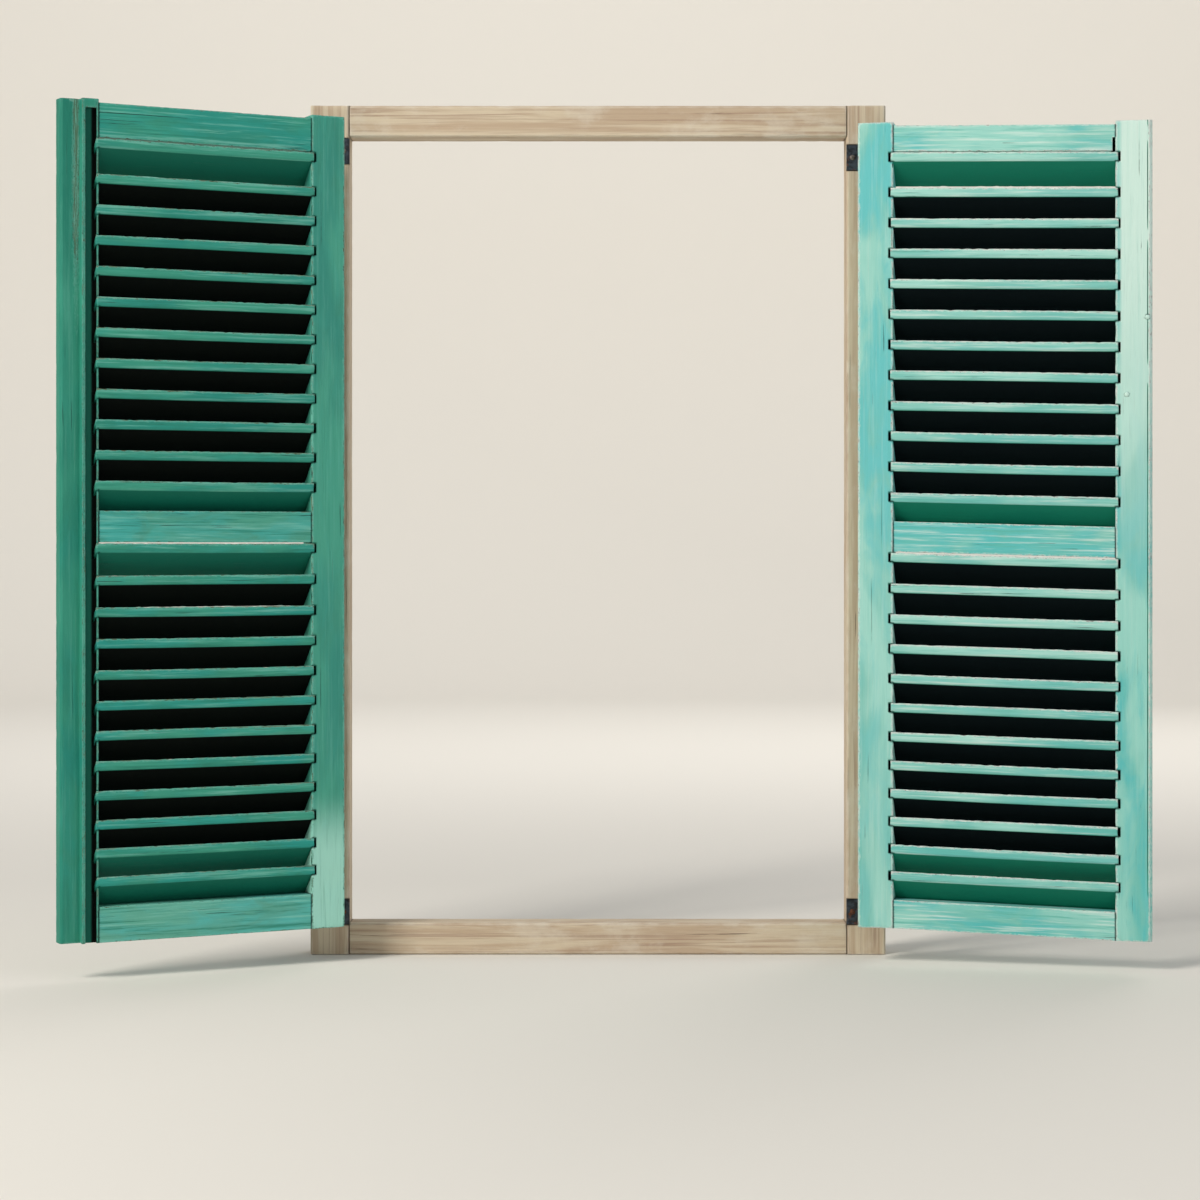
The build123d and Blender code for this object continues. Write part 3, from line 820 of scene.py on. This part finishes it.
@dataclass
class Slats:
    """The slats of one panel, worked up together and then laid one by one with small faults."""

    node: str
    around: Surroundings
    seed: int
    tone: Tone
    green: tuple[int, ...]
    slope: float = 1.0
    nose_height: float = 16 * MM
    nose_depth: float = 2.4 * MM
    half_thickness: float = 6.5 * MM
    crest_height: float = 5 * MM
    end_gap: float = 2.9 * MM

    def build(self, name: str, body: str, material: Material) -> None:
        """Builds all the slats of the panel.

        Args:
            name: name of the new piece.
            body: body that it rides on.
            material: its finish.
        """
        wear = Wear(Axis.WIDTH, row=5 * MM, rounding=0.5 * MM, chip=1.9 * MM, chip_length=11 * MM,
                    dent=0.25 * MM, tone=self.tone)
        work = Workpiece(self.node, self.around, wear, self.seed)
        groups = sorted(islands(work.shape), key=lambda group: -max(vert.co.z for vert in group))
        drift = random.Random(self.seed)
        grain = work.shape.verts.layers.float_vector["grain"]
        shade = work.shape.verts.layers.float["shade"]
        for index, group in enumerate(groups):
            offset = Vector([drift.uniform(2.0, 30.0) for _ in range(3)])
            nose = min(vert.co.y for vert in group)
            middle = max(vert.co.z for vert in group) - self.nose_height / 2
            # Painted shade on the underside: a green shadow for the slats listed in green, a black one for the
            # rest.
            dark = 0.5 if index in self.green else 1.0
            for vert in group:
                depth = vert.co.y - nose
                across = vert.co.z - middle + depth * self.slope
                under = depth > self.nose_depth and across < -self.half_thickness
                vert[shade] = dark if under else 0.0
                vert[grain] = Vector((vert.co.x, vert.co.y, across)) + offset
        work.age(Vector((drift.uniform(2, 30), 0, 0)))
        arris = work.shape.verts.layers.float["arris"]
        for group in groups:
            crest = max(vert.co.z for vert in group)
            for vert in group:
                # Crests wear more than the faces below them; with the sunlit copy's near-white worn wood they show
                # a painted highlight along the top.
                vert[arris] *= 1.12 if vert.co.z > crest - self.crest_height else 0.6
            self.lay(group, drift)
        work.place(name, body, "leaf_paint", material)

    def lay(self, group: list[BMVert], drift: random.Random) -> None:
        """Gives one slat its own slight lift, tilt and bow inside its grooves.

        Args:
            group: points of the slat.
            drift: source of its faults.
        """
        places = [vert.co.x for vert in group]
        middle, half = (min(places) + max(places)) / 2, (max(places) - min(places)) / 2
        lift = drift.uniform(0.1, 0.9) * MM
        slant = drift.uniform(-0.35, 0.35) * MM
        bow = drift.uniform(-0.9, 0.5) * MM
        shift = drift.uniform(-1.0, 1.0) * MM
        for vert in group:
            along = (vert.co.x - middle) / half
            short = -self.end_gap * along
            vert.co += Vector((shift + short, 0.0, lift * 0.5 + slant * along + bow * (1.0 - along * along)))


def innermost_point(group: list[BMVert]) -> list[float]:
    """Returns: the solid's point nearest the origin, to the millimetre; it gives solids a fixed order."""
    return [round(value, 3) for value in min(vert.co for vert in group)]


@dataclass
class Fastener:
    """Round-headed screws or nails that stand where their node's plain ones are."""

    node: str
    around: Surroundings
    facing: Vector
    head_radius: float
    head_height: float
    slotted: bool
    seed: int
    sides: int = 20
    crown_steps: int = 6
    slot_width: float = 1.3 * MM
    slot_depth: float = 1.0 * MM

    def build(self, name: str, body: str, material: Material) -> None:
        """Builds every fastener of the node.

        Args:
            name: name of the new piece.
            body: body that it rides on.
            material: its finish.
        """
        solid = merged_copy(self.node, self.around.home)
        shape = bmesh.new()
        drift = random.Random(self.seed)
        for island in sorted(islands(solid), key=innermost_point):
            reach = [vert.co.dot(self.facing) for vert in island]
            middle = sum((vert.co for vert in island), Vector()) / len(island)
            top = middle + self.facing * (max(reach) - middle.dot(self.facing))
            turn = self.facing.to_track_quat("Z", "Y").to_matrix().to_4x4()
            stand = Matrix.Translation(top) @ turn @ Matrix.Rotation(drift.uniform(0, math.pi), 4, "Z")
            self.add_one(shape, stand, max(reach) - min(reach))
        solid.free()
        layer = shape.verts.layers.float_vector.new("grain")
        nook, sun = (shape.verts.layers.float.new(mark) for mark in ("nook", "sun"))
        for vert in shape.verts:
            vert[layer] = vert.co.copy()
            vert[nook] = 0.5
            # Painted sunlight on the heads; only the paint reads it, not the steel.
            vert[sun] = 0.9
        hang(finished(shape, self.around.home, name, material), self.node, body)

    def add_one(self, shape: BMesh, stand: Matrix, length: float) -> None:
        """Adds one fastener with its head's top at the origin of stand.

        Args:
            shape: the shape that it is added to.
            stand: place and turn of its head.
            length: its whole length.
        """
        one = bmesh.new()
        shank_radius = self.head_radius * 0.5
        profile = [Vector((shank_radius, 0.0, -length)), Vector((shank_radius, 0.0, -self.head_height))]
        for step in range(self.crown_steps):
            angle = math.radians(90) * step / self.crown_steps
            height = self.head_height * (math.sin(angle) - 1.0)
            profile.append(Vector((self.head_radius * math.cos(angle), 0.0, height)))
        verts = [one.verts.new(place) for place in profile]
        edges = [one.edges.new(pair) for pair in zip(verts, verts[1:])]
        bmesh.ops.spin(one, geom=verts + edges, cent=(0, 0, 0), axis=(0, 0, 1), dvec=(0, 0, 0),
                       angle=math.tau, steps=self.sides, use_merge=True)
        bmesh.ops.holes_fill(one, edges=one.edges, sides=0)
        if self.slotted:
            self.cut_slot(one)
        bmesh.ops.recalc_face_normals(one, faces=one.faces)
        one.transform(stand)
        carried = bpy.data.meshes.new("fastener")
        one.to_mesh(carried)
        one.free()
        shape.from_mesh(carried)
        bpy.data.meshes.remove(carried)

    def cut_slot(self, one: BMesh) -> None:
        """Sinks a screwdriver slot into the head.

        Args:
            one: the fastener.
        """
        for side in (-0.5, 0.5):
            geometry = one.verts[:] + one.edges[:] + one.faces[:]
            bmesh.ops.bisect_plane(one, geom=geometry, dist=0.001 * MM,
                                   plane_co=(side * self.slot_width, 0, 0), plane_no=(1, 0, 0))
        top = [face for face in one.faces if abs(face.calc_center_median().x) < 0.45 * self.slot_width
               and face.normal.z > 0.1 and face.calc_center_median().z > -self.head_height]
        sunk = bmesh.ops.extrude_face_region(one, geom=top)
        verts = [part for part in sunk["geom"] if isinstance(part, BMVert)]
        bmesh.ops.translate(one, verts=verts, vec=(0, 0, -self.slot_depth))
        bmesh.ops.delete(one, geom=top, context="FACES")


@dataclass
class Leaf:
    """One louvred leaf with its stiles, rails, slats, straps and fasteners."""

    name: str
    side: int
    rest_angle: float
    droop: float
    paint: Material
    palette: Palette
    tones: dict[str, Tone]
    seed: int
    around: Surroundings = field(init=False)
    along_rails: Surroundings = field(init=False)
    foot: float = -715 * MM
    hinge_stile_edge: float = 51 * MM
    panel_width: float = 392 * MM
    free_edge: float = 507 * MM
    housing: float = 9.3 * MM
    open_joint_top: float = 1417 * MM
    open_joint_reach: float = 6 * MM
    crack_inset: float = 8 * MM
    crack_foot: float = 60 * MM

    def __post_init__(self) -> None:
        """Finds the leaf's own axes, with its pin at their origin, and those of its sunk rails."""
        hinge = next(joint for joint in frame["joints"] if joint["child"] == self.body)
        pin_x, pin_y, _ = hinge["pos_m"]
        turn = Matrix.Rotation(math.radians(-self.side * self.rest_angle), 4, "Z")
        home = Matrix.Translation((pin_x, pin_y, self.foot)) @ turn
        members = frame["record"]["behaviour"]["bodies"][self.body]
        self.around = Surroundings(home, members)
        slope = Matrix.Identity(4)
        slope[2][0] = -self.side * self.droop / self.panel_width
        slope[2][3] = self.droop * self.hinge_stile_edge / self.panel_width
        self.along_rails = Surroundings(home @ slope, members)

    @property
    def body(self) -> str:
        """Returns: the body that the leaf is."""
        return f"{self.name}_leaf"

    def build(self) -> None:
        """Builds every piece of the leaf."""
        self.build_stiles()
        self.build_rails()
        self.build_slats()
        self.build_ironwork()

    def place(self, work: Workpiece) -> None:
        """Puts a stile or rail on the leaf.

        Args:
            work: the finished work.
        """
        work.place(f"{work.node}_painted", self.body, "leaf_paint", self.paint)

    def build_stiles(self) -> None:
        """Builds the two uprights."""
        wear = Wear(Axis.HEIGHT, tone=self.tones["hinge_stile"])
        hinge_stile = Workpiece(f"{self.name}_hinge_stile", self.around, wear, self.seed)
        hinge_stile.single()
        # Painted shade, black, on the walls of the slat housings.
        hinge_stile.darken((self.hinge_stile_edge - self.housing, self.hinge_stile_edge - 0.5 * MM))
        self.place(hinge_stile)
        wear = Wear(Axis.HEIGHT, tone=self.tones["meeting_stile"])
        meeting_stile = MeetingStile(f"{self.name}_meeting_stile", self.around, wear, self.seed + 1)
        inner_edge = self.hinge_stile_edge + self.panel_width
        if self.side > 0:
            meeting_stile.open_crack(self.free_edge - self.crack_inset, self.crack_foot)
            meeting_stile.keep_fresh(inner_edge)
        else:
            meeting_stile.mark_lap(inner_edge, self.free_edge)
        # Painted shade, black, on the walls of the slat housings.
        meeting_stile.darken((inner_edge + 0.5 * MM, inner_edge + self.housing))
        self.place(meeting_stile)

    def build_rails(self) -> None:
        """Builds the three cross members."""
        for step, label in enumerate(("top_rail", "middle_rail", "bottom_rail")):
            wear = Wear(Axis.WIDTH, row=5 * MM, chip=1.4 * MM, chip_length=13 * MM, tone=self.tones["rails"])
            rail = Workpiece(f"{self.name}_{label}", self.along_rails, wear, self.seed + 10 + step)
            rail.single()
            rail_end = self.hinge_stile_edge + self.panel_width
            # Painted shade, black, in the open joint at the top rail's end.
            if self.droop and label == "top_rail":
                joint = (rail_end - self.open_joint_reach, rail_end + self.open_joint_reach)
                rail.darken(joint, highest=self.open_joint_top)
            self.place(rail)

    def build_slats(self) -> None:
        """Builds the slats of both panels."""
        # Slats whose undersides take a green painted shadow instead of a black one.
        lower = (10, 11) if self.side > 0 else (0, 10, 11)
        for step, (label, green) in enumerate({"upper_slats": (0, 11), "lower_slats": lower}.items()):
            node = f"{self.name}_{label}"
            slats = Slats(node, self.along_rails, self.seed + 20 + step, self.tones["slats"], green)
            slats.build(f"{node}_painted", self.body, self.paint)

    def build_ironwork(self) -> None:
        """Builds the straps, their screws and the nails."""
        iron = Wear(Axis.WIDTH, row=8 * MM, rounding=0.6 * MM, chip=0.5 * MM, dent=0.3 * MM)
        for step, label in enumerate(("upper_strap", "lower_strap")):
            work = Workpiece(f"{self.name}_{label}", self.around, iron, self.seed + 30 + step)
            work.single()
            work.place(f"{self.name}_{label}_forged", self.body, "hinge_iron", self.palette.iron)
        screws = Fastener(f"{self.name}_strap_screws", self.around, Vector((0, 1, 0)), 5.2 * MM, 2.4 * MM,
                          True, self.seed + 40)
        screws.build(f"{self.name}_strap_screws_slotted", self.body, self.palette.steel)
        nails = f"{self.name}_stile_nails"
        if nails in frame["nodes"]:
            heads = Fastener(nails, self.around, Vector((0, -1, 0)), 4.2 * MM, 2.4 * MM, False,
                             self.seed + 41)
            heads.build(f"{nails}_painted", self.body, self.paint)


@dataclass
class WindowFrame:
    """The fixed timber frame, with the pintles that carry the leaves."""

    palette: Palette
    seed: int = 500
    body: str = "frame"
    around: Surroundings = field(init=False)

    def __post_init__(self) -> None:
        """Measures the frame's pieces in the object's own axes."""
        self.around = Surroundings(Matrix.Identity(4), frame["record"]["behaviour"]["bodies"][self.body])

    def build(self) -> None:
        """Builds every piece of the frame."""
        self.build_timbers()
        self.build_ironwork()

    def build_timbers(self) -> None:
        """Builds the posts, the head and the sill."""
        members = {"frame_left_post": Axis.HEIGHT, "frame_right_post": Axis.HEIGHT,
                   "frame_head": Axis.WIDTH, "frame_sill": Axis.WIDTH}
        for step, (node, grain) in enumerate(members.items()):
            wear = Wear(grain, row=9 * MM, rounding=0.8 * MM, chip=1.2 * MM, chip_length=20 * MM,
                        dent=0.3 * MM)
            work = Workpiece(node, self.around, wear, self.seed + step)
            work.single()
            work.place(f"{node}_weathered", self.body, "frame_timber", self.palette.timber)

    def build_ironwork(self) -> None:
        """Builds the pintles and the screws of their plates."""
        iron = Wear(Axis.HEIGHT, row=5 * MM, rounding=0.6 * MM, chip=0.4 * MM, dent=0.2 * MM)
        corners = [f"{side}_{height}_pintle" for side in ("left", "right") for height in ("upper", "lower")]
        for step, node in enumerate(corners):
            work = Workpiece(node, self.around, iron, self.seed + 10 + step)
            work.single()
            work.place(f"{node}_forged", self.body, "hinge_iron", self.palette.iron)
        screws = Fastener("pintle_screws", self.around, Vector((0, -1, 0)), 5.2 * MM, 2.4 * MM, True,
                          self.seed + 20)
        screws.build("pintle_screws_slotted", self.body, self.palette.steel)


@dataclass(frozen=True)
class Studio:
    """Camera at the photograph's place, soft lamps and a plain pale bowl round the object."""

    lens: float = 84.57
    camera_place: Place = (0.0036, -5.231, -0.027)
    horizon_shift: float = -0.0461
    floor_height: float = -0.7795
    bowl_radius: float = 11.0
    bowl_sweep: float = 2.5
    sweep_steps: int = 12
    bowl_rise: float = 5.0
    backdrop: Colour = (232, 228, 220)

    def build(self) -> None:
        """Builds the whole studio."""
        self.build_camera()
        self.build_bowl()
        self.build_lamps()
        bpy.context.scene.view_settings.view_transform = "Standard"

    def build_camera(self) -> None:
        """Sets the camera level with the middle of the leaves, looking square at the wall."""
        data = bpy.data.cameras.new("photo_camera")
        data.lens = self.lens
        data.sensor_width = 36.0
        data.shift_y = self.horizon_shift
        camera = bpy.data.objects.new("photo_camera", data)
        camera.location = self.camera_place
        camera.rotation_euler = (math.radians(90), 0.0, 0.0)
        bpy.context.scene.collection.objects.link(camera)
        bpy.context.scene.camera = camera

    def build_bowl(self) -> None:
        """Spins a floor that sweeps up into a wall all round."""
        recipe = Recipe("studio_backdrop")
        recipe.shader.inputs["Base Color"].default_value = linear(self.backdrop)
        recipe.shader.inputs["Roughness"].default_value = 0.9
        recipe.shader.inputs["Specular IOR Level"].default_value = 0.1
        bowl = bmesh.new()
        sweep = self.bowl_sweep
        places = [Vector((0.0, 0.0, 0.0)), Vector((self.bowl_radius - sweep, 0.0, 0.0))]
        for step in range(1, self.sweep_steps + 1):
            angle = math.radians(90) * step / self.sweep_steps
            places.append(Vector((self.bowl_radius - sweep + sweep * math.sin(angle), 0.0,
                                  sweep * (1.0 - math.cos(angle)))))
        places.append(Vector((self.bowl_radius, 0.0, self.bowl_rise)))
        verts = [bowl.verts.new(place) for place in places]
        edges = [bowl.edges.new(pair) for pair in zip(verts, verts[1:])]
        bmesh.ops.spin(bowl, geom=verts + edges, cent=(0, 0, 0), axis=(0, 0, 1), dvec=(0, 0, 0),
                       angle=math.tau, steps=96, use_merge=True)
        bmesh.ops.reverse_faces(bowl, faces=bowl.faces)
        floor = Matrix.Translation((0.0, 0.0, self.floor_height))
        made = finished(bowl, floor, "studio_bowl", recipe.material)

    def build_lamps(self) -> None:
        """Hangs a key lamp up on the left, a weak lamp on the right, and an even sky."""
        middle = (0.0, 0.0, 0.0)
        self.add_lamp("key_lamp", (-4.6, -4.6, 4.6), middle, 2.4, 440.0, (255, 250, 242))
        self.add_lamp("fill_lamp", (5.5, -5.0, 1.5), middle, 3.5, 60.0, (232, 240, 255))
        self.add_lamp("back_lamp", (3.5, 6.0, 4.0), middle, 3.0, 90.0, (255, 252, 248))
        self.add_lamp("wall_lamp", (0.0, 3.5, 5.5), (0.0, 11.0, 2.6), 4.0, 260.0, (255, 252, 248))
        world = bpy.data.worlds.new("studio_sky")
        world.use_nodes = True
        sky = world.node_tree.nodes["Background"]
        sky.inputs["Color"].default_value = linear((238, 242, 248))
        sky.inputs["Strength"].default_value = 0.42
        bpy.context.scene.world = world

    def add_lamp(self, name: str, place: Place, target: Place, size: float, power: float,
                 colour: Colour) -> None:
        """Adds one square lamp.

        Args:
            name: name of the lamp.
            place: where it hangs.
            target: where it looks.
            size: its width in metres.
            power: its power in watts.
            colour: its tint.
        """
        data = bpy.data.lights.new(name, "AREA")
        data.size = size
        data.energy = power
        data.color = linear(colour)[:3]
        lamp = bpy.data.objects.new(name, data)
        lamp.location = place
        lamp.rotation_euler = (Vector(target) - Vector(place)).to_track_quat("-Z", "Y").to_euler()
        bpy.context.scene.collection.objects.link(lamp)


def main() -> None:
    """Builds the studio, the frame and the two leaves, in that order."""
    logging.basicConfig(level=logging.INFO, format="%(message)s")
    Studio().build()
    palette = Palette.mixed()
    WindowFrame(palette).build()
    # Tone sets: the sun shares lay painted sunlight along each piece's height, the sunny set on the lit leaf and
    # the shaded set on the leaf in painted shade.
    sunny = {"hinge_stile": Tone(0.15, 0.1, 0.35, 1.0, streaks=0.2),
             "rails": Tone(0.0, 0.05, 0.6, 0.6, streaks=0.9),
             "meeting_stile": Tone(0.0, 1.0, 0.6, 0.1, 860 * MM, 420 * MM, streaks=0.12),
             "slats": Tone(0.05, 0.15, 0.3, 0.25, streaks=0.8)}
    shaded = {"hinge_stile": Tone(0.85, 0.05, 0.3, 0.15, 190 * MM, 60 * MM, streaks=0.25),
              "rails": Tone(0.2, 0.0, 0.9, 0.3, streaks=0.9),
              "meeting_stile": Tone(0.0, 0.0, 0.25, 0.05, streaks=0.3),
              "slats": Tone(0.0, 0.0, 0.4, 0.2, streaks=0.8)}
    # The right leaf takes the lit copy of the paint, the left leaf the copy with painted shade.
    Leaf("right", 1, 12.7, 10.5 * MM, palette.sunny_paint, palette, sunny, seed=100).build()
    Leaf("left", -1, 27.2, 0.0, palette.shaded_paint, palette, shaded, seed=300).build()


if __name__ == "__main__":
    main()
